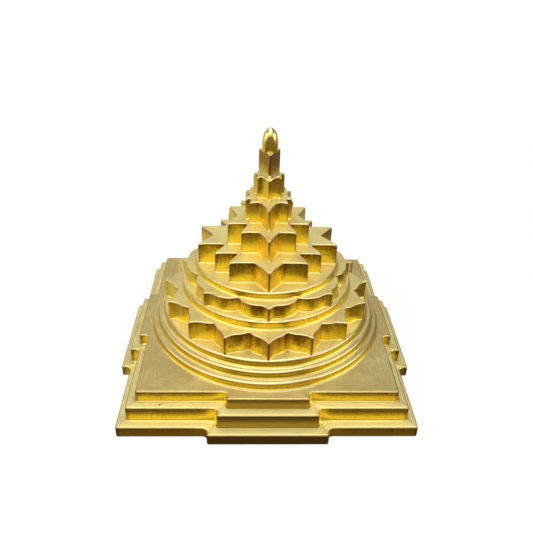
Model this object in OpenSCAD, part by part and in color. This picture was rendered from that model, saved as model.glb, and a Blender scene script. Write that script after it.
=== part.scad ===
// Meru shri yantra, the nine triangle drawing raised into a stepped mountain of brass.
// Sixteen tiers stand on one another, held down by a tie rod from the bindu to a nut below.
// The front of the drawing looks along -Y, and the lowest plate lies on Z = 0.

/* [Square plates] */
// Width of the lowest square plate, without its gates
plate_w = 71.5; // [66:0.5:90]
// How far each square plate stands in from the one below
plate_ledge = 2.25; // [1.5:0.05:2.6]
// Thickness of the lowest square plate
lower_plate_h = 3; // [2.9:0.1:6]
// Thickness of the middle square plate
middle_plate_h = 4; // [2:0.1:8]
// Thickness of the upper square plate
upper_plate_h = 3; // [2:0.1:8]
// Width of a gate on the lowest square plate
gate_w = 28.5; // [18:0.5:40]
// How far a gate stands out from its plate
gate_out = 2.4; // [1:0.1:5]

/* [Round steps] */
// How far the lowest round step stands in from the upper square plate
step_margin = 0.55; // [0.2:0.05:2]
// How far each round step stands in from the one below
step_ledge = 1.6; // [1:0.05:2.2]
// Height of each of the three round steps
step_h = 2.07; // [1:0.01:4]

/* [Sixteen petal lotus] */
// How far the petal tips stand in from the round step below
tip_margin = 0.15; // [0.05:0.05:0.5]
// Width of the turned rim left at each petal tip
tip_land = 0.3; // [0.2:0.05:0.5]
// Height of the sixteen petal lotus
sixteen_h = 5.2; // [3:0.1:8]
// Length of a petal from its tip in to the valleys beside it
sixteen_reach = 3.9; // [3.2:0.1:4.6]
// Width of a petal where its outline turns from hollow to full
sixteen_turn_w = 4.9; // [4:0.1:5.6]
// Distance from a petal tip in to that turn
sixteen_turn_drop = 2.65; // [2.2:0.05:3]
// Slope of the hollow arc at that turn
sixteen_hollow_tilt = 26; // [20:1:28]
// Slope of the full arc at that turn
sixteen_full_tilt = 36; // [32:1:37]

/* [Eight petal lotus] */
// How far the round seat of the eight petals stands in from the valleys below
seat_ledge = 1.2; // [0.6:0.1:2.5]
// Height of the round seat
seat_h = 2.26; // [1:0.01:4]
// Height of the eight petal lotus
eight_h = 3.85; // [2:0.05:8]
// Length of a petal from its tip in to the valleys beside it
eight_reach = 3.2; // [2.6:0.1:3.8]
// Width of a petal where its outline turns from hollow to full
eight_turn_w = 5; // [4:0.1:6.5]
// Distance from a petal tip in to that turn
eight_turn_drop = 1.25; // [0.9:0.05:1.6]
// Slope of the hollow arc at that turn
eight_hollow_tilt = -2; // [-6:1:2]
// Slope of the full arc at that turn
eight_full_tilt = 8; // [6:1:14]

/* [Stars] */
// How far the round star seat stands in from the valleys of the eight petals
star_seat_ledge = 0.3; // [0.1:0.05:1]
// Height of the star seat
star_seat_h = 1.87; // [1:0.01:4]
// Height of the fourteen point star
fourteen_h = 5.6; // [4:0.1:8]
// Height of the lower ten point star
lower_ten_h = 5.8; // [4:0.1:8]
// Height of the upper ten point star
upper_ten_h = 5.7; // [4:0.1:8]
// Height of the eight point star
eight_star_h = 5.6; // [4:0.1:8]
// Size of the upper ten point star against the drawing
upper_ten_draw = 0.97; // [0.9:0.01:1]
// Size of the eight point star against the drawing
eight_draw = 0.88; // [0.84:0.01:0.95]

/* [Triangle and bindu] */
// Half of the central triangle's side, in parts of the drawing
heart_half = 3.6; // [3.2:0.1:3.9]
// How far the corners of the central triangle are blunted
heart_blunt = 0.3; // [0.1:0.05:0.6]
// Height of the central triangle
heart_h = 5.8; // [4:0.1:8]
// Diameter of the bindu at its foot
bindu_d = 3.7; // [3:0.1:4.4]
// Height of the bindu
bindu_h = 5.9; // [5:0.1:9]
// Height of the upright foot of the bindu, below its curved flank
bindu_foot_h = 1.6; // [0.5:0.1:2]
// Diameter of the bindu where its nose begins
nose_d = 2.5; // [1.8:0.1:2.8]
// Height of the nose
nose_h = 1.45; // [1:0.05:2]

/* [Fixings] */
// Diameter of the tie rod, threaded at its lower end
rod_d = 2.5; // [2:0.1:3]
// Width of the square key at the top of the tie rod
key_w = 1.5; // [1.2:0.1:1.6]
// Depth of the round bore in the upper ten point star, below its square hole
key_step = 1.2; // [0.5:0.1:2]
// Diameter of the threaded stud that holds the bindu
stud_d = 1.4; // [1:0.1:1.4]
// Depth of the threaded bore in the bindu
stud_bore_h = 3; // [2:0.1:3.5]
// Width of the nut across its flats
nut_w = 5; // [4.5:0.1:6]
// Height of the nut
nut_h = 1.6; // [1.2:0.1:1.8]
// Diameter of the washer
washer_d = 6; // [5.5:0.1:7]
// Thickness of the washer
washer_h = 0.4; // [0.3:0.05:0.6]
// Room round the washer in the recess under the lowest plate
recess_room = 1.5; // [0.5:0.1:3]
// How far the nut stands above the underside of the lowest plate
nut_sink = 0.2; // [0.1:0.05:0.4]
// Diameter of the two long dowels through the plates, steps and lotus tiers
long_dowel_d = 2; // [1.5:0.1:2.5]
// Depth of the long dowels in the lowest plate
long_dowel_seat = 2; // [1:0.1:2.4]
// Reach of the long dowels into the fourteen point star
long_dowel_bite = 3.5; // [1.5:0.1:3.6]
// Brass left between the long dowels and the waist of the fourteen point star
long_dowel_wall = 1.5; // [1:0.1:3]
// Diameter of the two short dowels through the ten point stars
short_dowel_d = 1.5; // [1:0.1:1.6]
// Depth of the short dowels in the fourteen point star
short_dowel_seat = 2; // [1:0.1:2.5]
// Reach of the short dowels into the upper ten point star
short_dowel_bite = 2.3; // [1:0.1:2.5]
// Brass left between the short dowels and the waist of the upper ten point star
short_dowel_wall = 0.6; // [0.5:0.1:1]
// Clearance round the tie rod and its key, on the diameter
rod_clear = 0.1; // [0.06:0.02:0.2]
// Clearance round the dowels, on the diameter
dowel_clear = 0.06; // [0.04:0.02:0.2]
// Gap left past the end of a rod, key or dowel
end_gap = 0.2; // [0.1:0.05:0.4]

/* [Hidden] */
$fn = 96;
over = 1; // how far a cut runs past the face it starts from
brass = "#c8a24a";
steel = "#9a9c9e";

// Heights at which the tiers stand
middle_plate_z = lower_plate_h;
upper_plate_z = middle_plate_z + middle_plate_h;
lower_step_z = upper_plate_z + upper_plate_h;
middle_step_z = lower_step_z + step_h;
upper_step_z = middle_step_z + step_h;
sixteen_z = upper_step_z + step_h;
seat_z = sixteen_z + sixteen_h;
eight_z = seat_z + seat_h;
star_seat_z = eight_z + eight_h;
fourteen_z = star_seat_z + star_seat_h;
lower_ten_z = fourteen_z + fourteen_h;
upper_ten_z = lower_ten_z + lower_ten_h;
eight_star_z = upper_ten_z + upper_ten_h;
heart_z = eight_star_z + eight_star_h;
bindu_z = heart_z + heart_h;

// Radii of the round tiers, each led in from the tier below it
lower_step_r = plate_w / 2 - 2 * plate_ledge - step_margin;
middle_step_r = lower_step_r - step_ledge;
upper_step_r = middle_step_r - step_ledge;
sixteen_tip_r = upper_step_r - tip_margin;
seat_r = sixteen_tip_r - sixteen_reach - seat_ledge;
eight_tip_r = seat_r - tip_margin;
star_seat_r = eight_tip_r - eight_reach - star_seat_ledge;
drawing_r = star_seat_r - tip_margin;

// The drawing: the upright diameter of its circle holds 48 parts, from the back to the front.
// Nine cross lines stand these many parts apart, and each is trimmed at both ends
// by these many of the 24 parts in half of its chord.
half_parts = 24;
part = drawing_r / half_parts;
line_steps = [6, 6, 5, 3, 3, 4, 3, 6, 6];
line_trims = [3, 5, 0, 16, 18, 16, 0, 4, 5];
lines = range(len(line_steps) - 1);
function range(last) = [for (i = [0 : last]) i];
function sum_to(list, last) = last < 0 ? 0 : list[last] + sum_to(list, last - 1);
// Heights of the cross lines, then the front and the back of the circle
line_v = concat([for (i = lines) sum_to(line_steps, i) - half_parts], [half_parts, -half_parts]);
front = len(lines);
back = front + 1;
half_chord = [for (i = lines) sqrt(half_parts ^ 2 - line_v[i] ^ 2)];
half_line = [for (i = lines) half_chord[i] * (1 - line_trims[i] / half_parts)];
// Each cross line is the base of one triangle, whose apex lies on another line or on the circle
apex_line = [5, 8, front, 7, 6, 1, back, 0, 2];
function apex_v(t) = line_v[apex_line[t]];
function lean(t) = half_line[t] / (line_v[t] - apex_v(t));
// Corner of a triangle, the crossing of a triangle's side with a line, and of two sides
function corner(t) = [half_line[t], line_v[t]];
function side_on(t, line) = [lean(t) * (line_v[line] - apex_v(t)), line_v[line]];
function crossing_v(t, u) = (lean(t) * apex_v(t) - lean(u) * apex_v(u)) / (lean(t) - lean(u));
function crossing(t, u) = [lean(t) * (crossing_v(t, u) - apex_v(t)), crossing_v(t, u)];
function on_axis(line) = [0, line_v[line]];

// Right half of each star, from its front point to its back point
fourteen_half = [
    on_axis(front), side_on(2, 8), corner(8), side_on(8, 7), corner(7), side_on(7, 6), corner(6),
    crossing(2, 6), corner(2), side_on(1, 2), corner(1), side_on(0, 1), corner(0), side_on(6, 0),
    on_axis(back)
];
lower_ten_half = [
    on_axis(8), side_on(1, 7), side_on(2, 7), side_on(8, 6), side_on(2, 6), crossing(1, 7),
    side_on(6, 2), side_on(0, 2), side_on(6, 1), side_on(7, 1), on_axis(0)
];
upper_ten_half = [
    on_axis(7), side_on(3, 6), side_on(1, 6), side_on(8, 5), corner(5), crossing(3, 5),
    corner(3), side_on(0, 3), side_on(7, 2), side_on(5, 2), on_axis(1)
];
eight_half = [
    on_axis(6), side_on(4, 5), side_on(3, 5), crossing(4, 8), corner(4),
    side_on(8, 4), side_on(5, 3), side_on(8, 3), on_axis(2)
];

// The central triangle has equal sides, and its middle is on the axis
heart_side = 2 * heart_half * part;
heart_r = heart_side / sqrt(3);

// Places and ends of the fixings
rod_bore_d = rod_d + rod_clear;
key_hole_w = key_w + rod_clear;
recess_h = nut_sink + nut_h + washer_h;
washer_z = nut_sink + nut_h;
key_z = upper_ten_z + key_step;
stud_z = bindu_z - end_gap;
long_dowel_x = crossing(2, 6)[0] * part - long_dowel_wall - long_dowel_d / 2;
long_dowel_z = lower_plate_h - long_dowel_seat;
long_dowel_top = fourteen_z + long_dowel_bite;
short_dowel_x = crossing(3, 5)[0] * part * upper_ten_draw - short_dowel_wall - short_dowel_d / 2;
short_dowel_z = lower_ten_z - short_dowel_seat;
short_dowel_top = upper_ten_z + short_dowel_bite;

// Outline of a square plate with a gate in the middle of each side
module gated_square(inset) {
    w = plate_w - 2 * inset;
    gate = gate_w - 2 * inset;
    square(w, center = true);
    square([gate, w + 2 * gate_out], center = true);
    square([w + 2 * gate_out, gate], center = true);
}

// Outline of a lotus, cut from a disc: each half petal is hollow by the tip and full by the valley,
// and its two arcs cross at the turn
module lotus(petals, tip_r, valley_r, turn_w, turn_drop, hollow_tilt, full_tilt) {
    half_pitch = 180 / petals;
    valley = [0, valley_r];
    // Points of the petal beside the valley, and the middles of its two arcs
    tip = turned([tip_land / 2, tip_r], half_pitch);
    turn = turned([turn_w / 2, tip_r - turn_drop], half_pitch);
    hollow_out = turned([sin(hollow_tilt), cos(hollow_tilt)], half_pitch);
    full_out = turned([sin(full_tilt), cos(full_tilt)], half_pitch);
    hollow_r = norm(tip - turn) ^ 2 / (2 * hollow_out * (tip - turn));
    full_r = norm(valley - turn) ^ 2 / (-2 * full_out * (valley - turn));
    hollow_c = turn + hollow_out * hollow_r;
    full_c = turn - full_out * full_r;
    // The gap between two petals runs through the narrow space that lies in both arcs
    across = (hollow_c - full_c) / norm(hollow_c - full_c);
    shared = full_c + across * ((turn - full_c) * across);
    past_tip = tip * (1 + over / tip_r);
    half_gap = [valley - [0, over], shared, past_tip, 2 * past_tip];
    last = len(half_gap) - 1;
    difference() {
        circle(tip_r);
        for (i = [0 : petals - 1]) rotate((2 * i + 1) * half_pitch) {
            difference() {
                polygon(concat(half_gap, [for (k = [last : -1 : 1]) flipped(half_gap[k])]));
                translate(full_c) circle(full_r);
                translate(flipped(full_c)) circle(full_r);
            }
            translate(hollow_c) circle(hollow_r);
            translate(flipped(hollow_c)) circle(hollow_r);
        }
    }
}

// A point turned about the axis, and a point on the other side of the Y axis
function turned(p, angle) = [
    p[0] * cos(angle) - p[1] * sin(angle),
    p[0] * sin(angle) + p[1] * cos(angle)
];
function flipped(p) = [-p[0], p[1]];

// Outline of a star from its right half in parts, with the drawing's front along -Y
module star(half, draw = 1) {
    last = len(half) - 1;
    right = [for (p = half) [p[0], -p[1]] * part * draw];
    left = [for (i = [last - 1 : -1 : 1]) [-right[i][0], right[i][1]]];
    polygon(concat(right, left));
}

// Outline of the central triangle, one corner to the front
module heart(side_r) {
    polygon([for (i = [0 : 2]) side_r * [sin(120 * i), -cos(120 * i)]]);
}

// Every bore and recess of the stack, in its place
module bores() {
    translate([0, 0, -over]) cylinder(h = key_z + over, d = rod_bore_d);
    translate([0, 0, -over]) cylinder(h = recess_h + over, d = washer_d + 2 * recess_room);
    translate([0, 0, upper_ten_z]) linear_extrude(bindu_z + over - upper_ten_z)
        square(key_hole_w, center = true);
    dowel_pair(long_dowel_x, long_dowel_z, long_dowel_top + end_gap, long_dowel_d + dowel_clear);
    dowel_pair(short_dowel_x, short_dowel_z, short_dowel_top + end_gap, short_dowel_d + dowel_clear);
}

// Two round pins, left and right of the axis
module dowel_pair(x, from_z, to_z, d) {
    for (side = [-1, 1])
        translate([side * x, 0, from_z]) cylinder(h = to_z - from_z, d = d);
}

// One tier of brass with its bores
module tier(z, h) {
    color(brass) difference() {
        translate([0, 0, z]) linear_extrude(h) children();
        bores();
    }
}

module lower_square_plate() { tier(0, lower_plate_h) gated_square(0); }
module middle_square_plate() { tier(middle_plate_z, middle_plate_h) gated_square(plate_ledge); }
module upper_square_plate() { tier(upper_plate_z, upper_plate_h) gated_square(2 * plate_ledge); }
module lower_round_step() { tier(lower_step_z, step_h) circle(lower_step_r); }
module middle_round_step() { tier(middle_step_z, step_h) circle(middle_step_r); }
module upper_round_step() { tier(upper_step_z, step_h) circle(upper_step_r); }
module sixteen_petal_lotus() {
    tier(sixteen_z, sixteen_h)
        lotus(16, sixteen_tip_r, sixteen_tip_r - sixteen_reach,
            sixteen_turn_w, sixteen_turn_drop, sixteen_hollow_tilt, sixteen_full_tilt);
}
module lotus_seat() { tier(seat_z, seat_h) circle(seat_r); }
module eight_petal_lotus() {
    tier(eight_z, eight_h)
        lotus(8, eight_tip_r, eight_tip_r - eight_reach,
            eight_turn_w, eight_turn_drop, eight_hollow_tilt, eight_full_tilt);
}
module star_seat() { tier(star_seat_z, star_seat_h) circle(star_seat_r); }
module fourteen_point_star() { tier(fourteen_z, fourteen_h) star(fourteen_half); }
module lower_ten_point_star() { tier(lower_ten_z, lower_ten_h) star(lower_ten_half); }
module upper_ten_point_star() { tier(upper_ten_z, upper_ten_h) star(upper_ten_half, upper_ten_draw); }
module eight_point_star() { tier(eight_star_z, eight_star_h) star(eight_half, eight_draw); }
module central_triangle() {
    tier(heart_z, heart_h) intersection() {
        heart(heart_r);
        circle(heart_r - heart_blunt);
    }
}

// Bullet with a pointed nose, cut flush with the sides of the triangle it stands on
module bindu() {
    nose_z = bindu_h - nose_h;
    flank_h = nose_z - bindu_foot_h;
    draw_in = (bindu_d - nose_d) / 2;
    flank_r = (flank_h ^ 2 + draw_in ^ 2) / (2 * draw_in);
    color(brass) translate([0, 0, bindu_z]) difference() {
        intersection() {
            rotate_extrude() {
                square([bindu_d / 2, bindu_foot_h]);
                intersection() {
                    translate([0, bindu_foot_h]) square([bindu_d / 2, flank_h]);
                    translate([bindu_d / 2 - flank_r, bindu_foot_h]) circle(flank_r);
                }
                polygon([[0, nose_z], [nose_d / 2, nose_z], [0, bindu_h]]);
            }
            translate([0, 0, -over]) linear_extrude(bindu_h + 2 * over) heart(heart_r);
        }
        translate([0, 0, -over]) cylinder(h = stud_bore_h + over, d = stud_d);
    }
}

// Rod with a round body, a square key that turns with the upper stars, and a stud for the bindu
module tie_rod() {
    color(steel) {
        translate([0, 0, nut_sink]) cylinder(h = key_z - end_gap - nut_sink, d = rod_d);
        translate([0, 0, key_z - end_gap - key_step]) linear_extrude(stud_z - key_z + end_gap + key_step)
            square(key_w, center = true);
        translate([0, 0, stud_z - over]) cylinder(h = stud_bore_h + over, d = stud_d);
    }
}

module clamp_washer() {
    color(steel) translate([0, 0, washer_z]) difference() {
        cylinder(h = washer_h, d = washer_d);
        translate([0, 0, -over]) cylinder(h = washer_h + 2 * over, d = rod_bore_d);
    }
}

module clamp_nut() {
    color(steel) translate([0, 0, nut_sink]) difference() {
        cylinder(h = nut_h, d = nut_w / cos(30), $fn = 6);
        translate([0, 0, -over]) cylinder(h = nut_h + 2 * over, d = rod_d);
    }
}

module long_dowels() {
    color(steel) dowel_pair(long_dowel_x, long_dowel_z, long_dowel_top, long_dowel_d);
}

module short_dowels() {
    color(steel) dowel_pair(short_dowel_x, short_dowel_z, short_dowel_top, short_dowel_d);
}

lower_square_plate();
middle_square_plate();
upper_square_plate();
lower_round_step();
middle_round_step();
upper_round_step();
sixteen_petal_lotus();
lotus_seat();
eight_petal_lotus();
star_seat();
fourteen_point_star();
lower_ten_point_star();
upper_ten_point_star();
eight_point_star();
central_triangle();
bindu();
tie_rod();
clamp_washer();
clamp_nut();
long_dowels();
short_dowels();
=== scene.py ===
from functools import partial
import bpy
import numpy as np
from mathutils import Matrix, Vector


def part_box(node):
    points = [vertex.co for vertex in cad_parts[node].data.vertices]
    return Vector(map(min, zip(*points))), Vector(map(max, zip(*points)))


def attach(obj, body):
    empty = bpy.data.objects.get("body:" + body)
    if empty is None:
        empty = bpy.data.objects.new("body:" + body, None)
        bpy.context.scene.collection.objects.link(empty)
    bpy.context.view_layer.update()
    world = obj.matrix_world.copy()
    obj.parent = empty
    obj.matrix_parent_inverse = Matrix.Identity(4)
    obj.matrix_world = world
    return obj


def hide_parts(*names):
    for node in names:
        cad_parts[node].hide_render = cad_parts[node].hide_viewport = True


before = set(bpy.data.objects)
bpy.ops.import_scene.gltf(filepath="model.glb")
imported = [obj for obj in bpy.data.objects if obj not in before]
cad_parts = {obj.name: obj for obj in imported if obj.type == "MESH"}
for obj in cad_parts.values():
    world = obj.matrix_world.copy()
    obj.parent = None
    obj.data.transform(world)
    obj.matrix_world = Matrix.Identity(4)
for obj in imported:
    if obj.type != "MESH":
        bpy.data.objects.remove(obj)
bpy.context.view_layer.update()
mm = 0.001
print("frame loaded:", len(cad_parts), "solids")


# sRGB hex to linear light: a channel over 0.04045 is (c + 0.055) / 1.055 to the power 2.4, others c / 12.92
def linear(hexColour):
    c = np.array([int(hexColour[i:i + 2], 16) for i in (1, 3, 5)]) / 255
    c = np.where(c > 0.04045, ((c + 0.055) / 1.055) ** 2.4, c / 12.92)
    return (*c, 1.0)


# Adds a node: settings are its own properties, and each input is a number, a colour or another node's socket.
# Gives back the output that is named, or else the first one in use
def addNode(tree, kind, inputs=None, out=None, **settings):
    node = tree.nodes.new(kind)
    for key, value in settings.items():
        setattr(node, key, value)
    for key, value in (inputs or {}).items():
        if isinstance(value, bpy.types.NodeSocket):
            tree.links.new(value, node.inputs[key])
        else:
            node.inputs[key].default_value = value
    return node.outputs[out] if out else next((o for o in node.outputs if o.enabled), None)


# Camera

camera = {
    "focal": 580.68, "picture": 533,                # pixels: focal length, and width of the picture
    "sensor": 36, "clip": (0.005, 50),              # mm, m
    "yaw": 2.21, "pitch": 31.03, "roll": 1.63,      # degrees
    "origin": (-0.587, 21.947, 168.412),            # mm right, down and ahead, from lens to origin
}


# The lens sees right, down and ahead: the part is turned by yaw, tipped by pitch, then rolled in the picture
def placeCamera():
    yaw, pitch, roll = np.radians([camera["yaw"], camera["pitch"], camera["roll"]])
    turn = np.array(Matrix.Rotation(yaw, 3, "Z"))
    lookAlongY = np.array([[1, 0, 0], [0, 0, -1], [0, 1, 0]])
    tip = np.array(Matrix.Rotation(pitch, 3, "X"))
    twist = np.array(Matrix.Rotation(roll, 3, "Z"))
    seen = twist @ tip @ lookAlongY @ turn
    lens = bpy.data.cameras.new("camera")
    lens.sensor_width = camera["sensor"]
    lens.lens = camera["focal"] * camera["sensor"] / camera["picture"]
    lens.clip_start, lens.clip_end = camera["clip"]
    axes = np.eye(4)
    axes[:3, :3] = (seen * [[1], [-1], [-1]]).T
    axes[:3, 3] = -seen.T @ np.array(camera["origin"]) * mm
    holder = bpy.data.objects.new("camera", lens)
    holder.matrix_world = Matrix(axes)
    bpy.context.scene.collection.objects.link(holder)
    bpy.context.scene.camera = holder


placeCamera()
print("camera placed")

# Outlines: points and outward normals of a closed path that runs anticlockwise, in mm, and how near each
# point is to an outward corner and to an inward one, from 1 at the corner to 0 away from it

pathForm = {
    "tipShare": 0.2, "notchShare": 0.78,        # most of a side that an outward or inward arc takes
    "sideStart": 0.05, "sideShare": 0.1,        # mm from an arc to a side's first point, or share if less
    "tipFade": 0.5,                             # mm over which nearness to an outward corner fades
    "petalTipFade": 0.6, "valleyFade": 0.5,     # the same for the tips and valleys of petals
    "petalSteps": (6, 14, 12, 9),               # points on half a petal: tip, hollow, full side, valley
    "circleSteps": 288,
}


# At each corner of a polygon: direction and length of the sides that arrive and leave, and the angle between
# them, whose sine is the cross product of the directions and whose cosine is their dot product
def cornerTurns(corners):
    arrive = corners - np.roll(corners, 1, 0)
    leave = np.roll(corners, -1, 0) - corners
    longArrive, longLeave = np.linalg.norm(arrive, axis=1), np.linalg.norm(leave, axis=1)
    arrive, leave = arrive / longArrive[:, None], leave / longLeave[:, None]
    cross = arrive[:, 0] * leave[:, 1] - arrive[:, 1] * leave[:, 0]
    return arrive, leave, longArrive, longLeave, np.arctan2(cross, (arrive * leave).sum(1))


# Each corner of a polygon becomes an arc that touches both its sides, of tipR where it points out and notchR
# where it points in. A side's points lie close together near its ends and further apart between them
def cornerPath(corners, tipR, notchR, arcSteps=7, sideSteps=9, notchFade=0.4):
    arrive, leave, longArrive, longLeave, turn = cornerTurns(corners)
    half = np.tan(np.abs(turn) / 2)
    most = np.where(turn > 0, pathForm["tipShare"], pathForm["notchShare"])
    reach = np.minimum(np.where(turn > 0, tipR, notchR) * half, most * np.minimum(longArrive, longLeave))
    start = np.arctan2(arrive[:, 1], arrive[:, 0])[:, None] - np.pi / 2
    angle = start + turn[:, None] * np.linspace(0, 1, arcSteps + 1)
    arcNormal = np.stack([np.cos(angle), np.sin(angle)], 2)
    signedR = (np.sign(turn) * reach / half)[:, None, None]
    arc = (corners - arrive * reach[:, None])[:, None] + (arcNormal - arcNormal[:, :1]) * signedR
    span = (longLeave - reach - np.roll(reach, -1))[:, None]
    first = np.minimum(pathForm["sideStart"], pathForm["sideShare"] * span)
    spread = (1 - np.cos(np.linspace(0, np.pi, sideSteps))) / 2
    along = first + (span - 2 * first) * spread
    side = (corners + leave * reach[:, None])[:, None] + leave[:, None] * along[..., None]

    # Nearness is 1 on a kind of corner's arcs, and along the sides e to the power of minus distance over fade
    def nearTo(kind, fade):
        fromStart = kind[:, None] * np.exp(-along / fade)
        toEnd = np.roll(kind, -1)[:, None] * np.exp(-(span - along) / fade)
        onArc = np.broadcast_to(kind[:, None], angle.shape)
        return np.concatenate([onArc, np.clip(fromStart + toEnd, 0, 1)], 1).ravel()

    points = np.concatenate([arc, side], 1).reshape(-1, 2)
    sideNormal = np.broadcast_to(arcNormal[:, -1:], side.shape)
    normals = np.concatenate([arcNormal, sideNormal], 1).reshape(-1, 2)
    return points, normals, nearTo(turn > 0, pathForm["tipFade"]), nearTo(turn < 0, notchFade)


# Cuts each outward corner of a polygon off square: both new corners lie as far along the sides as makes the
# cut flat wide, which is half of flat over the cosine of half the turn
def bluntCorners(corners, flat):
    arrive, leave, longArrive, longLeave, turn = cornerTurns(corners)
    back = np.where(turn > 0, flat / 2 / np.cos(turn / 2), 0)[:, None]
    pairs = np.stack([corners - arrive * back, corners + leave * back], 1)
    keep = np.stack([np.full(len(corners), True), turn > 0], 1)
    return pairs[keep]


# A circle as wide as a solid: radius times the unit normal at evenly spaced angles
def circlePath(node):
    steps = pathForm["circleSteps"]
    angle = np.linspace(0, 2 * np.pi, steps, endpoint=False)
    normal = np.stack([np.cos(angle), np.sin(angle)], 1)
    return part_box(node)[1].x / mm * normal, normal, np.zeros(steps), np.zeros(steps)


# Unit vector at an angle from a petal's axis: its sine across and its cosine along
def fromAxis(angle):
    return np.stack([np.sin(angle), np.cos(angle)], -1)


# Half a petal is four arcs that touch: round tip, hollow, full side and the cutter's valley. It is mirrored
# on the petal's axis and turned once for each petal
def petalPath(p):
    pitch = np.pi / p["petals"]
    axis = fromAxis(pitch)
    tip = np.array([p["land"] / 2, p["tipAt"]])
    bend = np.array([p["turnW"] / 2, p["tipAt"] - p["turnDrop"]])
    toTip, toValley = tip - bend, p["valleyAt"] * axis - bend
    hollowOut, fullOut = fromAxis(np.radians([p["hollowTilt"], p["fullTilt"]]))
    hollowR, fullR = toTip @ toTip / (2 * hollowOut @ toTip), toValley @ toValley / (-2 * fullOut @ toValley)
    hollowC, fullC = bend + hollowOut * hollowR, bend - fullOut * fullR
    tipC = np.array([0, hollowC[1] - np.sqrt((hollowR + p["tipR"]) ** 2 - hollowC[0] ** 2)])
    inward = axis @ fullC
    valleyC = axis * (inward + np.sqrt(inward ** 2 - fullC @ fullC + (fullR + p["valleyR"]) ** 2))
    tipEnd, hollowEnd = np.arctan2(*(hollowC - tipC)), np.arctan2(*hollowOut)
    fullStart, fullEnd = np.arctan2(*fullOut), np.arctan2(*(valleyC - fullC))
    *before, last = pathForm["petalSteps"]
    onTip, onHollow, onFull = (np.linspace(0, 1, steps, endpoint=False) for steps in before)
    onValley = np.linspace(0, 1, last)
    arcs = [(tipC, p["tipR"], tipEnd * onTip),
            (hollowC, -hollowR, tipEnd + (hollowEnd - tipEnd) * onHollow),
            (fullC, fullR, fullStart + (fullEnd - fullStart) * onFull),
            (valleyC, -p["valleyR"], fullEnd + (pitch - fullEnd) * onValley)]
    normal = np.concatenate([fromAxis(angle) for centre, radius, angle in arcs])
    points = np.concatenate([centre + radius * fromAxis(angle) for centre, radius, angle in arcs])
    tips = np.exp(-(points[0, 1] - points[:, 1]) / pathForm["petalTipFade"])
    notches = np.exp(-np.linalg.norm(points - points[-1], axis=1) / pathForm["valleyFade"])
    half = np.stack([points, normal])
    petal = np.concatenate([half[:, ::-1], half[:, 1:-1] * [-1, 1]], 1)
    spin = np.arange(p["petals"]) * 2 * pitch
    turned = np.array([[np.cos(spin), -np.sin(spin)], [np.sin(spin), np.cos(spin)]])
    points, normals = np.einsum("ijk,anj->akni", turned, petal).reshape(2, -1, 2)
    return points, normals, *(np.tile(np.append(n[::-1], n[1:-1]), p["petals"]) for n in (tips, notches))


# The drawing: the upright diameter of a circle is divided into 48 parts by nine cross lines, each line is
# trimmed at both ends, and each is the base of a triangle whose apex lies on another line or on the circle
drawing = {
    "radius": 18.45, "parts": 48,                 # mm, and parts in the diameter
    "steps": [6, 6, 5, 3, 3, 4, 3, 6, 6],
    "trims": [3, 5, 0, 16, 18, 16, 0, 4, 5],
    "apexOn": [5, 8, 9, 7, 6, 1, 10, 0, 2],       # 9 is the front of the circle, 10 the back
}
halfParts = drawing["parts"] / 2
baseV = np.cumsum(drawing["steps"]) - halfParts
lineV = np.append(baseV, [halfParts, -halfParts])
halfLine = np.sqrt(halfParts ** 2 - baseV ** 2) * (1 - np.array(drawing["trims"]) / halfParts)
apexV = lineV[drawing["apexOn"]]
lean = halfLine / (baseV - apexV)


# A triangle's corner: the end of its line
def corner(t):
    return halfLine[t], lineV[t]


# A triangle's side where it meets a line: lean times the distance from its apex
def sideOn(t, line):
    return lean[t] * (lineV[line] - apexV[t]), lineV[line]


# Two triangles' sides where they cross: the height at which both are equally far from the axis
def crossing(t, u):
    v = (lean[t] * apexV[t] - lean[u] * apexV[u]) / (lean[t] - lean[u])
    return lean[t] * (v - apexV[t]), v


# The middle of a line
def onAxis(line):
    return 0.0, lineV[line]


halfStars = {
    "fourteen_point_star": [
        onAxis(9), sideOn(2, 8), corner(8), sideOn(8, 7), corner(7), sideOn(7, 6), corner(6), crossing(2, 6),
        corner(2), sideOn(1, 2), corner(1), sideOn(0, 1), corner(0), sideOn(6, 0), onAxis(10)],
    "lower_ten_point_star": [
        onAxis(8), sideOn(1, 7), sideOn(2, 7), sideOn(8, 6), sideOn(2, 6), crossing(1, 7),
        sideOn(6, 2), sideOn(0, 2), sideOn(6, 1), sideOn(7, 1), onAxis(0)],
    "upper_ten_point_star": [
        onAxis(7), sideOn(3, 6), sideOn(1, 6), sideOn(8, 5), corner(5), crossing(3, 5),
        corner(3), sideOn(0, 3), sideOn(7, 2), sideOn(5, 2), onAxis(1)],
    "eight_point_star": [
        onAxis(6), sideOn(4, 5), sideOn(3, 5), crossing(4, 8), corner(4),
        sideOn(8, 4), sideOn(5, 3), sideOn(8, 3), onAxis(2)],
}


# Right half of a star in parts, scaled to mm with the front along -Y, then mirrored for the left half
def starCorners(name, share):
    right = np.array(halfStars[name]) * [1, -1] * share * drawing["radius"] / halfParts
    return np.concatenate([right, right[-2:0:-1] * [-1, 1]])


# A square with a gate in the middle of each side: one quarter of its corners, turned four times
def gatedSquare(width, gateW, gateOut):
    w, g, o = width / 2, gateW / 2, width / 2 + gateOut
    quarter = np.array([[w, -w], [w, -g], [o, -g], [o, g], [w, g]])
    turns = np.array([[[1, 0], [0, 1]], [[0, -1], [1, 0]], [[-1, 0], [0, -1]], [[0, 1], [-1, 0]]])
    return np.einsum("kij,nj->kni", turns, quarter).reshape(-1, 2)


# Tiers

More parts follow.
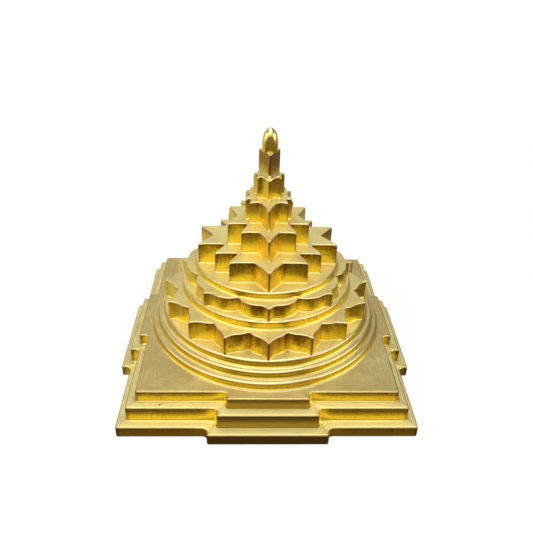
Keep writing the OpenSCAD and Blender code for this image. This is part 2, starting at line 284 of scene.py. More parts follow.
tierForm = {
    "arcSteps": 5, "wallRows": 7,               # steps in a foot cove or a top edge, rows on a wall
    "underAt": (0.4, 0.8),                      # rows on the underside, as shares of the way out
    "topAt": (0, 0.12, 0.3, 0.55, 1),           # rows on the top, as shares of the way in
    "gap": 0.04,                                # mm from an arc to the next row, so that flat faces stay flat
    "coveRoom": 0.7, "keepEdge": 0.3,           # share of the ledge below a cove takes, mm of edge kept
    "smoothUpTo": 35,                           # degrees between faces that are shaded as one
    "band": 0.25, "bandPower": 8,               # more film and painted shade right under the top edge
    "tipFilmAndShade": 0.45, "tipPower": 3,             # more film and painted shade on the tips
    "tipShade": 0.3, "rimWearAndHighlight": 0.9,             # painted shade on the tips; how bright top edges are rubbed, with a painted highlight
}


# A tier's grid, row by row: from the bore out over the underside, up the foot cove (a quarter ellipse that
# curves out), the wall and the top edge (a quarter ellipse that curves in), and over the top to the bore. The
# cove's reach and the edge's drop may differ from column to column. Wear and a painted highlight go with the
# sine of twice the angle on the top edge, and a painted highlight goes with the cosine of the angle on the
# foot cove
def tierGrid(path, low, high, coveOut, coveUp, drop, sag, form):
    points, normals = path[:2]
    swing = np.linspace(0, np.pi / 2, tierForm["arcSteps"] + 1)[:, None]
    gap, edge, bore = tierForm["gap"], form["edge"], form["bore"]

    # The path at a height, moved out along its normals by an offset
    def ring(offset, z):
        offset, z = np.broadcast_arrays(offset, z, np.zeros(len(points)))[:2]
        return np.dstack([points[:, 0] + normals[:, 0] * offset, points[:, 1] + normals[:, 1] * offset, z])

    # A circle at a height: each point's direction from the axis times the radius
    def boreRing(radius, z):
        flat = points / np.linalg.norm(points, axis=1)[:, None] * radius
        return np.dstack([flat[None], np.full((1, len(points)), z)])

    foot = ring(coveOut * (1 - np.sin(swing)), low + coveUp * (1 - np.cos(swing)))
    start, end = low + coveUp + gap, high - sag - drop - gap
    wall = ring(0, start + (end - start) * np.linspace(0, 1, tierForm["wallRows"])[:, None])
    rim = ring(-edge * (1 - np.cos(swing)), high - sag - drop * (1 - np.sin(swing)))
    lip = ring(-edge - gap, high - sag)
    inner = [(bore, low)]
    if "recess" in form:
        recessR, depth = form["recess"]
        inner = [(bore, low + depth), (recessR, low + depth), (recessR, low)]
    inside = np.concatenate([boreRing(*rz) for rz in inner])
    under = inside[-1:] + (foot[:1] - inside[-1:]) * np.array(tierForm["underAt"])[:, None, None]
    top = lip + (boreRing(bore, high) - lip) * np.array(tierForm["topAt"])[:, None, None]
    # The foot cove gets a painted highlight; the top edge gets wear and a painted highlight
    footHighlight = form.get("footHighlight", 0.0) * np.cos(swing)
    rimWearAndHighlight = form.get("rimWearAndHighlight", tierForm["rimWearAndHighlight"]) * np.sin(2 * swing)
    bare = [np.zeros((len(rows), 1)) for rows in (np.concatenate([inside, under]), wall, top)]
    wearAndHighlight = np.concatenate([bare[0], footHighlight, bare[1], rimWearAndHighlight, bare[2]])
    return np.concatenate([inside, under, foot, wall, rim, top]), wearAndHighlight


# Puts a grid that closes along its columns into a mesh. Its rows close too, or else the first and last are
# capped. Its map is in mm (along the path, along the rows), and each share becomes a value at its points.
# Faces are turned to give a positive volume: the sum of their middles times the cross products of their
# diagonals
def gridPiece(name, grid, shares, closeRows=True):
    rows, cols = grid.shape[:2]
    index = np.arange(rows * cols).reshape(rows, cols)
    right = np.roll(index, -1, 1)
    quads = np.stack([index, right, np.roll(right, -1, 0), np.roll(index, -1, 0)], 2)
    quads = (quads if closeRows else quads[:-1]).reshape(-1, 4)
    caps = np.stack([index[0, ::-1], index[-1]])[:0 if closeRows else 2]
    v = grid.reshape(-1, 3)
    a, b, c, d = (v[quads[:, i]] for i in range(4))
    if np.einsum("ij,ij->", a + b + c + d, np.cross(c - a, d - b)) < 0:
        quads, caps = quads[:, ::-1], caps[:, ::-1]
    flat = grid[:, :, :2]
    along = np.cumsum(np.linalg.norm(np.diff(flat, axis=1, append=flat[:, :1]), axis=2).max(0))
    up = np.cumsum(np.linalg.norm(np.diff(grid, axis=0, append=grid[:1]), axis=2).max(1))
    col, row = quads % cols, quads // cols
    lastCol = (np.ptp(col, axis=1) > 1)[:, None] & (col == 0)
    lastRow = (np.ptp(row, axis=1) > 1)[:, None] & (row == 0)
    along, up = np.append(0, along), np.append(0, up)
    uv = np.stack([along[np.where(lastCol, cols, col)], up[np.where(lastRow, rows, row)]], 2)
    capUv = np.stack([along[caps % cols], up[caps // cols]], 2)
    mesh = bpy.data.meshes.new(name)
    mesh.from_pydata(v * mm, [], quads.tolist() + caps.tolist())
    mesh.uv_layers.new(name="surface").data.foreach_set("uv", np.append(uv, capUv).astype(np.float32))
    for label, share in shares.items():
        values = np.broadcast_to(share, grid.shape[:2]).astype(np.float32).ravel()
        mesh.attributes.new(label, "FLOAT", "POINT").data.foreach_set("value", values)
    mesh.shade_smooth()
    mesh.set_sharp_from_angle(angle=np.radians(tierForm["smoothUpTo"]))
    piece = bpy.data.objects.new(name, mesh)
    bpy.context.scene.collection.objects.link(piece)
    return piece


# A brass piece stands in for a solid, moves with the part's one body and takes the brass slot
def brassPiece(piece, node):
    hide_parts(node)
    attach(piece, "root")
    brassPieces.append(piece)


# Angle of each point round the part's axis: the arc tangent of y over x
def angleOf(points):
    return np.arctan2(points[:, 1], points[:, 0])


# A tier between the heights of its solid. Its cove may be fuller in the notches, but reaches no further out
# than the outline below allows, which is that outline's radius at the same angle less its edge. Its top edge
# drops more at the outward corners. Film and painted shade go evenly from foot to top, and a high power of
# the height adds a band under the edge. Tips and notches change them too
def makeTier(node, path, form, below=None):
    low, high = (c.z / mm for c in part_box(node))
    points, tips, notches = path[0], path[2], path[3]
    swellOut, swellUp = form.get("notchCove", (0, 0))
    coveOut = form["cove"][0] * (1 + swellOut * notches) * form.get("coveShare", 1.0)
    coveUp = form["cove"][1] * (1 + swellUp * notches)
    if below:
        belowR = np.linalg.norm(below[0], axis=1)
        edgeAt = np.interp(angleOf(points), angleOf(below[0]), belowR, period=2 * np.pi)
        ledge = edgeAt - tierForm["keepEdge"] - np.linalg.norm(points, axis=1)
        coveOut = np.minimum(coveOut, np.clip(tierForm["coveRoom"] * ledge, 0, None))
    drop = form["edge"] * (1 + form["tipWear"] * tips)
    sag = form.get("sag", 0.0) * tips
    grid, wearAndHighlight = tierGrid(path, low, high, coveOut, coveUp, drop, sag, form)
    up = (grid[:, :, 2] - low) / (high - low)
    footFilmAndShade, topFilmAndShade = form["filmAndShade"]
    # Film with painted shade: it darkens walls towards the top, more at the tips, and changes in the notches
    filmAndShadeShare = footFilmAndShade + (topFilmAndShade - footFilmAndShade) * up + tierForm["band"] * up ** tierForm["bandPower"]
    filmAndShadeShare = filmAndShadeShare + tierForm["tipFilmAndShade"] * tips ** tierForm["tipPower"]
    filmAndShadeShare = filmAndShadeShare + form.get("notchFilmAndShade", 0.0) * notches
    # Dulling of tops with painted shade, more at the tips
    shares = {
        "filmAndShadeShare": filmAndShadeShare, "wearAndHighlight": wearAndHighlight, "dullAndShade": form["dullAndShade"] + tierForm["tipShade"] * tips,
        "handled": form.get("handled", 0.0), "hazy": form.get("hazy", 0.0)}
    brassPiece(gridPiece(node + "_milled", grid, shares), node)
    outlines[node] = path


brassPieces, outlines = [], {}

# Square plates: flat gates, and between them recesses hollowed out wider at the foot, as a round cutter
# leaves them. The lowest has a rounded lower edge in place of a cove, and under it a recess for the nut,
# whose radius and depth are given. The front ledges of the two lower plates are hazier and painted brighter
plates = {
    "lower_square_plate": {
        "width": 71.5, "gateW": 28.5, "notchR": 1.3, "cove": (-0.2, 0.2), "notchCove": (0.0, 0.0),
        "dullAndShade": -0.8, "haze": 0.6, "recess": (4.5, 2.2)},
    "middle_square_plate": {
        "width": 67.0, "gateW": 24.0, "notchR": 0.9, "cove": (0.55, 0.6), "notchCove": (0.55, 2.5),
        "dullAndShade": -0.75, "haze": 0.6},
    "upper_square_plate": {
        "width": 62.5, "gateW": 19.5, "notchR": 0.9, "cove": (0.55, 0.6), "notchCove": (0.55, 2.5),
        "dullAndShade": 0.1, "haze": 0.0},
}
plateForm = {
    "gateOut": 2.4, "gateCove": 0.4,                    # mm that a gate stands out, share of cove under it
    "gateFilmAndShade": (1.0, 1.5), "recessFilmAndShade": (0.3, 0.75),  # film and painted shade at the foot and the top of the walls
    "notchFilmAndShade": -0.5, "notchFade": 1.5,                # less film and painted shade in the notches, mm over which it fades
    "tipR": 0.6, "edge": 0.5, "tipWear": 0.3, "rimWearAndHighlight": 0.15,
    "bore": 1.3, "sideSteps": 17,
    "handled": 1.0, "frontLedgeHighlight": 0.5,                   # held by hands; how much a painted highlight brightens hazy front ledges
}
for node, p in plates.items():
    corners = gatedSquare(p["width"], p["gateW"], plateForm["gateOut"])
    path = cornerPath(
        corners, plateForm["tipR"], p["notchR"],
        sideSteps=plateForm["sideSteps"], notchFade=plateForm["notchFade"])
    onGate = np.clip((np.abs(path[0]).max(1) - p["width"] / 2) / plateForm["gateOut"], 0, 1)
    hazy = p["haze"] * np.clip(-path[1][:, 1], 0, 1)    # only where the ledge faces the front
    # Ledges that face the front are painted brighter, by making them less dull
    makeTier(node, path, {
        **plateForm, **p, "hazy": hazy, "dullAndShade": p["dullAndShade"] - plateForm["frontLedgeHighlight"] * hazy,
        "coveShare": 1 - (1 - plateForm["gateCove"]) * onGate,
        "filmAndShade": [r + (g - r) * onGate for r, g in zip(plateForm["recessFilmAndShade"], plateForm["gateFilmAndShade"])]})
print("square plates made")

# Three round steps with full, rounded edges, and how dull the top of each is, partly as painted shade
stepForm = {"edge": 0.55, "cove": (0.75, 0.85), "filmAndShade": (0.4, 0.7), "tipWear": 0, "bore": 1.3, "handled": 1.0}
steps = {"lower_round_step": -0.05, "middle_round_step": -0.05, "upper_round_step": -0.85}
for node, dullAndShade in steps.items():
    makeTier(node, circlePath(node), {**stepForm, "dullAndShade": dullAndShade})

# Two lotuses and the round seats on them. In a petal the hollow under the tip turns into the full side at
# turnW across and turnDrop below the tip, and tilts are in degrees. Petals at the sides have less film and
# painted shade than those at the front
lotuses = {
    "sixteen_petal_lotus": {
        "petals": 16, "tipAt": 27.35, "valleyAt": 23.5, "land": 0.3, "turnW": 4.9, "turnDrop": 2.4,
        "hollowTilt": 29, "fullTilt": 25, "tipR": 0.3, "valleyR": 0.5, "frontFilmAndShade": (0.5, 1.15),
        "below": "upper_round_step", "seat": "lotus_seat"},
    "eight_petal_lotus": {
        "petals": 8, "tipAt": 22.1, "valleyAt": 18.95, "land": 0.3, "turnW": 5.0, "turnDrop": 1.25,
        "hollowTilt": -1, "fullTilt": 4, "tipR": 0.3, "valleyR": 0.5, "frontFilmAndShade": (0.3, 0.95),
        "below": "lotus_seat", "seat": "star_seat"},
}
lotusForm = {
    "edge": 0.24, "cove": (0.4, 0.5), "sideFilmAndShade": (-0.2, 0.35), "notchFilmAndShade": 0.2,
    "dullAndShade": 0.2, "tipWear": 1.2, "bore": 1.3,
}
seatForm = {"edge": 0.4, "cove": (0.6, 0.8), "filmAndShade": (0.1, 0.5), "dullAndShade": 0.0, "tipWear": 0, "bore": 1.3}
for node, p in lotuses.items():
    path = petalPath(p)
    onSide = np.abs(path[0][:, 0]) / np.linalg.norm(path[0], axis=1)
    filmAndShade = [f + (s - f) * onSide for f, s in zip(p["frontFilmAndShade"], lotusForm["sideFilmAndShade"])]
    makeTier(node, path, {**lotusForm, "filmAndShade": filmAndShade}, below=outlines[p["below"]])
    makeTier(p["seat"], circlePath(p["seat"]), seatForm, below=outlines[node])
print("round steps and lotuses made")

# Four stars, each a share of the drawing's size: the smaller ones are cut with a stouter cutter, so that
# their notches become round niches
stars = {
    "fourteen_point_star": {
        "share": 1.0, "notchR": 0.55, "filmAndShade": (0.1, 0.65), "below": "star_seat"},
    "lower_ten_point_star": {
        "share": 1.0, "notchR": 0.6, "filmAndShade": (-0.1, 0.4), "below": "fourteen_point_star"},
    "upper_ten_point_star": {
        "share": 0.97, "notchR": 1.1, "filmAndShade": (-0.15, 0.35), "below": "lower_ten_point_star"},
    "eight_point_star": {
        "share": 0.88, "notchR": 1.5, "filmAndShade": (-0.2, 0.3), "below": "upper_ten_point_star"},
}
starForm = {
    "flat": 0.3, "tipR": 0.12, "edge": 0.24, "cove": (0.4, 0.5), "sag": 0.12,       # mm
    "tipWear": 2.4, "footHighlight": 0.35, "notchFilmAndShade": 0.3, "dullAndShade": 0.0, "bore": 1.3, "arcSteps": 5,
}
for node, p in stars.items():
    corners = bluntCorners(starCorners(node, p["share"]), starForm["flat"])
    path = cornerPath(corners, starForm["tipR"], p["notchR"], arcSteps=starForm["arcSteps"])
    makeTier(node, path, {**starForm, "filmAndShade": p["filmAndShade"]}, below=outlines[p["below"]])

# Central triangle, one corner to the front
heart = {
    "side": 5.535, "flat": 0.35, "tipR": 0.1, "edge": 0.16, "cove": (0.9, 1.1),     # mm
    "filmAndShade": (0.3, 1.4), "tipWear": 1.5, "footHighlight": 0.8, "dullAndShade": 0.0, "bore": 1.1,
}
heartCorners = heart["side"] / np.sqrt(3) * np.array([[0, -1], [np.sqrt(0.75), 0.5], [-np.sqrt(0.75), 0.5]])
heartPath = cornerPath(bluntCorners(heartCorners, heart["flat"]), heart["tipR"], heart["tipR"])
makeTier("central_triangle", heartPath, heart, below=outlines["eight_point_star"])
print("stars and triangle made")

bindu = {
    "width": 3.9, "footH": 1.6,             # mm: upright foot
    "noseW": 3.0, "noseH": 1.55,            # cone at the top, above a sharp ring
    "noseFull": 1.3,                        # 1 makes it a straight cone, more a fuller one
    "height": 5.9, "blend": 0.05,           # and how softly the flats run into the round
    "stud": (0.72, 3.0),                    # bore for the end of the tie rod: radius and depth
    "filmAndShade": ((0, 0.25), (2.2, 0.2), (2.8, 0), (4.3, 0)),            # height, and how much brown film and painted shade it has there
    "wearAndHighlight": ((0.0, 0.5), (0.4, 0.0), (2.2, 0.1), (2.8, 0.45), (4.3, 0.45), (4.35, 1.0)),    # and how rubbed, with a painted highlight at the foot and on the nose
    "columns": 180, "footRows": 8, "flankRows": 20, "ring": 0.03,   # the flank ends so far below the ring
    "noseAt": (0.01, 0.03, 0.2, 0.4, 0.6, 0.78, 0.9, 0.96, 0.99),   # rows on the nose, as shares of it
    "within": 0.999,                        # share of the bullet's radius that rounded edges stay within
    "boreEnd": 0.02, "point": (0.03, 0.006),    # what is left of the radius at both ends, and mm of rise
}


# Radius at an angle and a height: a bullet (upright foot, arc to the nose, cone to the point) cut by the
# three sides of the triangle, where the lesser of the two radii is taken and the edge between them is rounded
def makeBindu():
    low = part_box("bindu")[0].z / mm
    noseZ = bindu["height"] - bindu["noseH"]
    drawIn, flankH = (bindu["width"] - bindu["noseW"]) / 2, noseZ - bindu["footH"]
    flankR = (flankH ** 2 + drawIn ** 2) / (2 * drawIn)
    footZ = np.linspace(0, bindu["footH"], bindu["footRows"])
    flankZ = np.linspace(bindu["footH"], noseZ - bindu["ring"], bindu["flankRows"])[1:]
    z = np.concatenate([footZ, flankZ, [noseZ], noseZ + bindu["noseH"] * np.array(bindu["noseAt"])])
    flank = bindu["width"] / 2 - flankR + np.sqrt(flankR ** 2 - np.clip(z - bindu["footH"], 0, None) ** 2)
    toPoint = np.clip((z - noseZ) / bindu["noseH"], 0, 1)
    nose = bindu["noseW"] / 2 * (1 - toPoint ** bindu["noseFull"])
    bullet = np.where(z > noseZ, nose, flank)[:, None]
    angle = np.linspace(0, 2 * np.pi, bindu["columns"], endpoint=False)
    toSide = (angle - np.pi / 6 + np.pi / 3) % (2 * np.pi / 3) - np.pi / 3
    side = heart["side"] / np.sqrt(12) / np.cos(toSide)[None]
    apart = np.sqrt((bullet - side) ** 2 + 4 * bindu["blend"] ** 2)
    radius = np.minimum((bullet + side - apart) / 2, bullet * bindu["within"])

    # Points at heights: the radius times the cosine and the sine of each angle
    def rings(radius, z):
        return np.dstack([radius * np.cos(angle), radius * np.sin(angle), np.broadcast_to(z, radius.shape)])

    skin = rings(radius, low + z[:, None])
    studR, studH = bindu["stud"]
    studRows = np.array([[studR * bindu["boreEnd"]], [studR], [studR]])
    inside = rings(np.repeat(studRows, len(angle), 1), low + np.array([[studH], [studH], [0]]))
    narrow, rise = bindu["point"]
    point = skin[-1:] * [narrow, narrow, 1] + [0, 0, rise]
    grid = np.concatenate([inside, skin, point])
    # Brown film with painted shade low on the bindu; wear with a painted highlight at its foot, upper flank
    # and nose
    filmAndShadeShare, wearAndHighlight = (np.interp(grid[:, :, 2] - low, *zip(*bindu[share])) for share in ("filmAndShade", "wearAndHighlight"))
    shares = {"filmAndShadeShare": filmAndShadeShare, "wearAndHighlight": wearAndHighlight, "dullAndShade": 0.0, "handled": 0.0, "hazy": 0.0}
    brassPiece(gridPiece("bindu_turned", grid, shares, closeRows=False), "bindu")


makeBindu()
print("bindu made:", len(brassPieces), "brass pieces")

# Materials

brass = {
    "top": "#faf0ad", "topDulledAndShaded": "#cfbd82",             # tops painted paler than walls as lit brass looks, and tops dulled by handling and painted shade
    "wall": "#f5d242", "filmAndShade": "#8c5a12",               # walls, painted deeper than tops, and the brown film and painted shade under their top edges
    "filmAndShadeHandled": "#856a3e",                           # greyer film and painted shade where hands hold the part
    "edge": "#fce6a4",                                  # edges rubbed bright, with a painted highlight on top edges, wall feet and the bindu
    "topFrom": (0.55, 0.97),                            # how far up a face looks as it turns from wall to top
    "patch": 7.0, "grain": 0.4, "line": 0.4,            # mm: soft patches, grain of the tops, cutter's lines
    "lineLong": 8, "blotch": (1.5, 2),                  # a line's length, a blotch's sides, in line widths
    "lineShare": 0.8, "marksMiddle": 1.3,               # share of lines in the marks, and the marks' middle
    "handledMarks": 0.4,                                # how strong marks stay in film that hands hold
    "filmAndShadeFrom": (0.2, 1.0), "filmAndShadeDepth": 0.84,          # from where to where film and painted shade thicken, and their most
    "patchShare": 1.6, "grainShare": 0.7, "brushShare": 1.8,        # what makes tops dull in places
    "dullAndShadeFrom": (0.95, 2.3),                            # from where to where that shows
    "topRoughness": 0.56, "roughSpread": 0.15,          # of the tops, and how far their grain changes it
    "hazeRoughness": 0.2,                               # so much more on hazy ledges
    "wallRoughness": 0.32, "edgeRoughness": 0.3,
    "relief": 0.018,                                    # mm, of lines and grain
    "pits": ((-25.42, -32.4, 7.0), (6.06, -24.11, 21.4), (8.25, -19.2, 27.5)),      # mm
    "pitR": 0.16, "pitFade": 1.8, "pit": "#3a2a0c",     # mm, and how many times as wide its soft rim is
}
smooth, colours = {"interpolation_type": "SMOOTHSTEP"}, {"data_type": "RGBA"}


# The two ends of a range, as the node that maps one range to another names them
def fromTo(start, end):
    return {"From Min": start, "From Max": end}


# Milled brass, left satin: a warm yellow metal, blurred on the tops and clearer on the walls, where the
# cutter's fine lines break the reflections up and a mottled brown film with painted shade lies under the top
# edges, which are rubbed bright and carry a painted highlight. Tops are painted paler than walls, as lit
# brass looks. The real lines are finer than the picture can show, so they are drawn about half a mm apart
def milledBrass():
    material = bpy.data.materials.new("milled brass")
    material.use_nodes = True
    shader = material.node_tree.nodes["Principled BSDF"]
    add, link = partial(addNode, material.node_tree), material.node_tree.links.new
    place = add("ShaderNodeTexCoord", out="Object")
    surface = add("ShaderNodeUVMap", uv_map="surface")
    filmAndShadeShare, wearAndHighlight, dullAndShade, handled, hazy = (
        add("ShaderNodeAttribute", attribute_name=share, out="Fac")
        for share in ("filmAndShadeShare", "wearAndHighlight", "dullAndShade", "handled", "hazy"))
    upward = add("ShaderNodeSeparateXYZ", {0: add("ShaderNodeTexCoord", out="Normal")}, out="Z")
    top = add("ShaderNodeMapRange", {"Value": upward, **fromTo(*brass["topFrom"])}, **smooth)
    wall = add("ShaderNodeMath", {0: 1.0, 1: top}, operation="SUBTRACT")

    # Marks of the cutter: level lines, upright lines and blotches between them
    def marks(alongWall, upWall, detail):
        size = (1 / alongWall, 1 / upWall, 0)
        spot = add("ShaderNodeVectorMath", {0: surface, 1: size}, operation="MULTIPLY")
        return add("ShaderNodeTexNoise", {"Vector": spot, "Scale": 1, "Detail": detail})

    line, lineLong = brass["line"], brass["lineLong"] * brass["line"]
    level, upright = marks(lineLong, line, 2), marks(line, lineLong, 2)
    blotch = marks(brass["blotch"][0] * line, brass["blotch"][1] * line, 4)
    patches = add("ShaderNodeTexNoise", {"Vector": place, "Scale": 1 / (brass["patch"] * mm), "Detail": 4})
    grain = add("ShaderNodeTexNoise", {"Vector": place, "Scale": 1 / (brass["grain"] * mm), "Detail": 2})

    # The film and its painted shade thicken where blotches and lines add up, and lie on walls only
    lines = add("ShaderNodeMath", {0: level, 1: upright})
    ragged = add("ShaderNodeMath", {0: lines, 1: brass["lineShare"], 2: blotch}, operation="MULTIPLY_ADD")
    uneven = add("ShaderNodeMath", {0: ragged, 1: brass["marksMiddle"]}, operation="SUBTRACT")
    clear = add("ShaderNodeMapRange", {"Value": handled, "To Min": 1.0, "To Max": brass["handledMarks"]})
    filmAndShade = add("ShaderNodeMath", {0: uneven, 1: clear, 2: filmAndShadeShare}, operation="MULTIPLY_ADD")
    thick = add("ShaderNodeMapRange", {
        "Value": filmAndShade, "To Max": brass["filmAndShadeDepth"], **fromTo(*brass["filmAndShadeFrom"])}, **smooth)
    filmAndShade = add("ShaderNodeMath", {0: thick, 1: wall}, operation="MULTIPLY")

    # Tops are dull in patches, in their grain and along brush lines where hands hold the part, and painted
    # shade set per piece and at the tips adds to that
    dullPatchesAndShade = add("ShaderNodeMath", {0: patches, 1: brass["patchShare"], 2: dullAndShade}, operation="MULTIPLY_ADD")
    dullPatchesAndShade = add("ShaderNodeMath", {0: grain, 1: brass["grainShare"], 2: dullPatchesAndShade}, operation="MULTIPLY_ADD")
    brushed = add("ShaderNodeMath", {0: level, 1: brass["brushShare"]}, operation="MULTIPLY")
    dullPatchesAndShade = add("ShaderNodeMath", {0: brushed, 1: handled, 2: dullPatchesAndShade}, operation="MULTIPLY_ADD")
    dullPatchesAndShade = add("ShaderNodeMapRange", {"Value": dullPatchesAndShade, **fromTo(*brass["dullAndShadeFrom"])})

    # Each colour lies over the one before it by its own share: tops, painted paler as lit, over walls, then
    # film with painted shade, wear with a painted highlight, and pits
    topTones = {"A": linear(brass["top"]), "B": linear(brass["topDulledAndShaded"])}
    tops = add("ShaderNodeMix", {"Factor": dullPatchesAndShade, **topTones}, **colours)
    browns = {"A": linear(brass["filmAndShade"]), "B": linear(brass["filmAndShadeHandled"])}
    brown = add("ShaderNodeMix", {"Factor": handled, **browns}, **colours)
    # Painted light: faces that turn up take the paler top colour, the others the deeper wall colour
    tone = add("ShaderNodeMix", {"Factor": top, "A": linear(brass["wall"]), "B": tops}, **colours)
    tone = add("ShaderNodeMix", {"Factor": filmAndShade, "A": tone, "B": brown}, **colours)
    # Pale edge colour by its share: rubbed edges, and a painted highlight on top edges, feet and the nose
    tone = add("ShaderNodeMix", {"Factor": wearAndHighlight, "A": tone, "B": linear(brass["edge"])}, **colours)
    for pit in brass["pits"]:
        away = add("ShaderNodeVectorMath", {0: place, 1: [c * mm for c in pit]}, operation="DISTANCE")
        rim = fromTo(brass["pitR"] * mm * brass["pitFade"], brass["pitR"] * mm)
        spot = add("ShaderNodeMapRange", {"Value": away, **rim}, **smooth)
        tone = add("ShaderNodeMix", {"Factor": spot, "A": tone, "B": linear(brass["pit"])}, **colours)
    link(tone, shader.inputs["Base Color"])

    blurred = add("ShaderNodeMapRange", {
        "Value": grain, "To Min": brass["topRoughness"] - brass["roughSpread"],
        "To Max": brass["topRoughness"] + brass["roughSpread"]})
    haze = {0: hazy, 1: brass["hazeRoughness"], 2: blurred}
    blurred = add("ShaderNodeMath", haze, operation="MULTIPLY_ADD")
    rough = add("ShaderNodeMix", {"Factor": top, "A": brass["wallRoughness"], "B": blurred})
    rough = add("ShaderNodeMix", {"Factor": wearAndHighlight, "A": rough, "B": brass["edgeRoughness"]})
    link(rough, shader.inputs["Roughness"])
    relief = add("ShaderNodeMix", {"Factor": top, "A": lines, "B": grain})
    bump = add("ShaderNodeBump", {"Height": relief, "Strength": 1.0, "Distance": brass["relief"] * mm})
    link(bump, shader.inputs["Normal"])
    shader.inputs["Metallic"].default_value = 1
    return material


steel = {"dark": "#8d8f90", "light": "#a9abac", "grain": 10 / 9, "roughness": 0.4}      # grain in mm


# Turned steel for the fixings below and inside: a grey metal with a dull shine and a faint grain
def turnedSteel():
    material = bpy.data.materials.new("turned steel")
    material.use_nodes = True
    shader = material.node_tree.nodes["Principled BSDF"]
    add = partial(addNode, material.node_tree)
    place = add("ShaderNodeTexCoord", out="Object")
    grain = add("ShaderNodeTexNoise", {"Vector": place, "Scale": 1 / (steel["grain"] * mm), "Detail": 3})
    greys = {"A": linear(steel["dark"]), "B": linear(steel["light"])}
    tone = add("ShaderNodeMix", {"Factor": grain, **greys}, **colours)
    material.node_tree.links.new(tone, shader.inputs["Base Color"])
    shader.inputs["Metallic"].default_value = 1
    shader.inputs["Roughness"].default_value = steel["roughness"]
    return material


brassMaterial, steelMaterial = milledBrass(), turnedSteel()
for piece in brassPieces:
    piece.data.materials.append(brassMaterial)
for node in ("tie_rod", "clamp_washer", "clamp_nut", "long_dowels", "short_dowels"):
    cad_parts[node].data.materials.clear()
    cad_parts[node].data.materials.append(steelMaterial)
print("materials set")

# Floor and light

stage = {
    "floor": "#665744",         # the floor's own tone, as the metal sees it in front of the part
    "reach": 6.0, "under": 5e-5,            # m: half its side, and how far it lies below the part
    "paintedShadeAt": 30,               # degrees to the right of the front, where painted shade makes the metal see it darkest
    "whiteFrom": (70, 140),     # degrees from there over which the metal sees it turn white
    "mirrorWhite": 0.6,         # how white it then is
    "shadow": 0.12,             # how deep the part's shadow shows
    "shadowFrom": (0.12, 0.5),  # m from the part's axis over which the shadow fades out
    "mirrorSky": 0.05,          # how white the metal sees what lies above the floor
    "dome": 0.14, "domeTone": "#fff5e8",    # light from all round
    "aim": (0, 0, 0.03),        # m: the middle of the part, one metre from each box
    # degrees round from the front, degrees up, size in m, how bright its face is, colour
    "boxes": {
        "overhead box": (0, 89, (1.0, 1.0), 2.0, "#ffffff"),
        "left box": (-76, 18, (1.0, 0.6), 1.6, "#ffffff"),
        "right box": (70, 17, (1.0, 0.6), 2.4, "#ffffff"),
        "front box": (-20, 36, (1.5, 0.6), 1.3, "#ffffff"),
        "low front box": (-10, 10, (1.6, 0.35), 0.5, "#ffffff"),
        "back box": (198, 25, (1.8, 0.5), 0.6, "#fff6ea"),
    },
}
white = (1, 1, 1, 1)


# 1 for a ray that the camera sees straight, and 1 for a ray that is mirrored by metal or seen through glass
def rayKinds(add):
    seenBy, glossy, through = (
        add("ShaderNodeLightPath", out=f"Is {ray} Ray") for ray in ("Camera", "Glossy", "Transmission"))
    return seenBy, add("ShaderNodeMath", {0: glossy, 1: through}, operation="MAXIMUM")


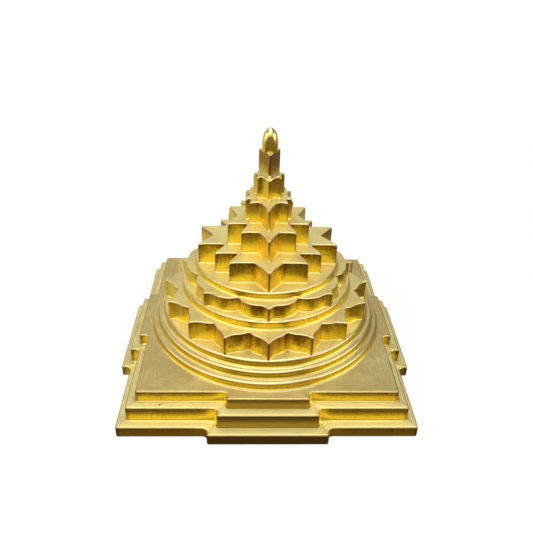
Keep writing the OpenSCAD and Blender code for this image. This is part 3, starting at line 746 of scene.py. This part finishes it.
# A pale floor, white to the camera apart from the part's shadow, which fades with distance. Mirrored rays see
# it turn white by the cosine of the angle from a side of painted shade, and all other rays see its own tone
def makeFloor():
    r, z = stage["reach"], -stage["under"]
    plate = bpy.data.meshes.new("floor")
    plate.from_pydata([(-r, -r, z), (r, -r, z), (r, r, z), (-r, r, z)], [], [(0, 1, 2, 3)])
    floor = bpy.data.objects.new("floor", plate)
    bpy.context.scene.collection.objects.link(floor)
    material = bpy.data.materials.new("pale floor")
    material.use_nodes = True
    material.node_tree.nodes.clear()
    add = partial(addNode, material.node_tree)
    seenBy, mirrored = rayKinds(add)
    place = add("ShaderNodeTexCoord", out="Object")
    outward = add("ShaderNodeVectorMath", {0: place}, operation="NORMALIZE")
    # Painted shade on the floor, seen by mirrored rays only: darkest on one side, turning white away from it
    dark = np.radians(stage["paintedShadeAt"])
    paintedShadeSide = (np.sin(dark), -np.cos(dark), 0)
    fromPaintedShade = add("ShaderNodeVectorMath", {0: outward, 1: paintedShadeSide}, operation="DOT_PRODUCT")
    turning = fromTo(*np.cos(np.radians(stage["whiteFrom"])))
    pale = add("ShaderNodeMapRange", {"Value": fromPaintedShade, "To Max": stage["mirrorWhite"], **turning}, **smooth)
    mirrored = add("ShaderNodeMath", {0: mirrored, 1: pale}, operation="MULTIPLY")
    away = add("ShaderNodeVectorMath", {0: place}, operation="LENGTH", out="Value")
    fading = {"Value": away, "To Min": 1 - stage["shadow"], **fromTo(*stage["shadowFrom"])}
    bare = add("ShaderNodeMapRange", fading, **smooth)
    seen = add("ShaderNodeMath", {0: seenBy, 1: bare, 2: mirrored}, operation="MULTIPLY_ADD")
    tone = add("ShaderNodeMix", {"Factor": seenBy, "A": linear(stage["floor"]), "B": white}, **colours)
    matte = add("ShaderNodeBsdfDiffuse", {"Color": tone})
    glow = add("ShaderNodeEmission", {"Color": white, "Strength": 1})
    add("ShaderNodeOutputMaterial", {"Surface": add("ShaderNodeMixShader", {0: seen, 1: matte, 2: glow})})
    plate.materials.append(material)


# The world is white to the camera and a little white to mirrored rays; all other rays see the dome
def makeWorld():
    world = bpy.data.worlds.new("studio")
    bpy.context.scene.world = world
    world.use_nodes = True
    world.node_tree.nodes.clear()
    add = partial(addNode, world.node_tree)
    seenBy, mirrored = rayKinds(add)
    seen = add("ShaderNodeMath", {0: mirrored, 1: stage["mirrorSky"], 2: seenBy}, operation="MULTIPLY_ADD")
    dome = add("ShaderNodeBackground", {"Color": linear(stage["domeTone"]), "Strength": stage["dome"]})
    sky = add("ShaderNodeBackground", {"Color": white, "Strength": 1})
    add("ShaderNodeOutputWorld", {"Surface": add("ShaderNodeMixShader", {0: seen, 1: dome, 2: sky})})


# Light boxes that face the middle of the part: the power of each is pi times its area times its brightness
def makeBoxes():
    for name, (azimuth, elevation, size, bright, colour) in stage["boxes"].items():
        az, el = np.radians(azimuth), np.radians(elevation)
        lamp = bpy.data.lights.new(name, "AREA")
        lamp.shape, lamp.size, lamp.size_y = "RECTANGLE", *size
        lamp.energy = bright * np.pi * size[0] * size[1]
        lamp.color = linear(colour)[:3]
        holder = bpy.data.objects.new(name, lamp)
        outward = Vector((np.cos(el) * np.sin(az), -np.cos(el) * np.cos(az), np.sin(el)))
        holder.location = Vector(stage["aim"]) + outward
        holder.rotation_mode = "QUATERNION"
        holder.rotation_quaternion = (-outward).to_track_quat("-Z", "Y")
        bpy.context.scene.collection.objects.link(holder)


makeFloor()
makeWorld()
makeBoxes()
bpy.context.scene.view_settings.view_transform = "Standard"
print("stage set")
